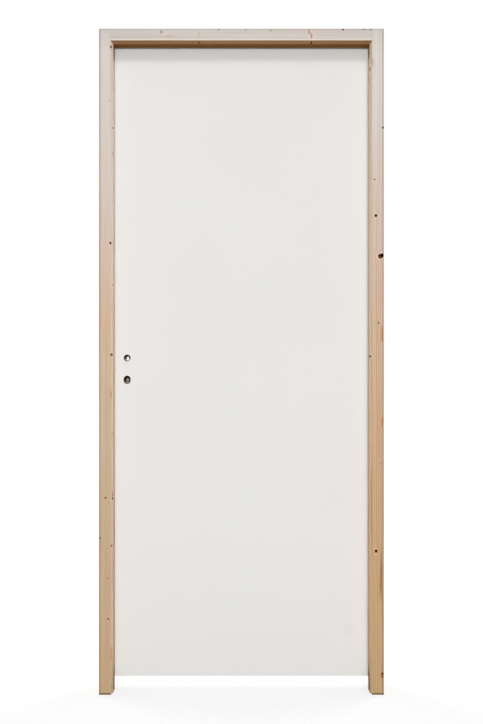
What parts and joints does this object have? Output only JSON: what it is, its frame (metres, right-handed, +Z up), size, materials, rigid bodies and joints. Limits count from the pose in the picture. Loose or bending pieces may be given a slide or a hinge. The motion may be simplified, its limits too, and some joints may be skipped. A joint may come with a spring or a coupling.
{
  "type": "prehung timber fire door",
  "caption": "Flush solid-core leaf hung on lift-off hinges in a rebated softwood frame with intumescent strips; the leaf is bored for a mortise lock and swings away from the stop side.",
  "frame": {"origin": "on the outer flat face of the hinge jamb, at foot level, halfway through the frame's depth", "axes": "+X out of the hinge jamb towards the wall it is fixed to, +Y away from the push side, where the leaf opens, +Z up"},
  "size_m": [0.892, 0.105, 2.086],
  "materials": {
    "frame_wood": "planed, unfinished softwood",
    "leaf_wood": "planed softwood edge",
    "core_board": "pressed board",
    "primed_board": "white primed hardboard",
    "seal": "matt sleeve",
    "zinc_steel": "zinc plated",
    "lock_steel": "zinc plated, dull",
    "follower_metal": "die-cast, bright",
    "washer_brass": "plain"
  },
  "bodies": {
    "frame": {"lock_jamb_lower": "frame_wood", "lock_jamb_middle": "frame_wood", "lock_jamb_upper": "frame_wood", "hinge_jamb": "frame_wood", "head": "frame_wood", "lock_side_seal": "seal", "hinge_side_seal": "seal", "head_seal": "seal", "strike_plate": "zinc_steel", "hinge_frame_half_bottom": "zinc_steel", "hinge_frame_half_middle": "zinc_steel", "hinge_frame_half_top": "zinc_steel", "hinge_washer_bottom": "washer_brass", "hinge_washer_middle": "washer_brass", "hinge_washer_top": "washer_brass"},
    "leaf": {"front_skin": "primed_board", "back_skin": "primed_board", "core": "core_board", "lock_stile": "leaf_wood", "lock_block_lower": "leaf_wood", "lock_block_upper": "leaf_wood", "hinge_stile": "leaf_wood", "top_rail": "leaf_wood", "bottom_rail": "leaf_wood", "lock_case": "lock_steel", "lock_cover": "lock_steel", "lock_forend": "zinc_steel", "follower": "follower_metal", "latch_bolt": "follower_metal", "dead_bolt": "follower_metal", "hinge_leaf_half_bottom": "zinc_steel", "hinge_leaf_half_middle": "zinc_steel", "hinge_leaf_half_top": "zinc_steel"}
  },
  "joints": [
    {"name": "leaf_swing", "type": "hinge", "parent": "frame", "child": "leaf", "pos_m": [-0.02775, 0.053, 0], "axis": [0, 0, -1], "range_deg": [0, 180]}
  ]
}
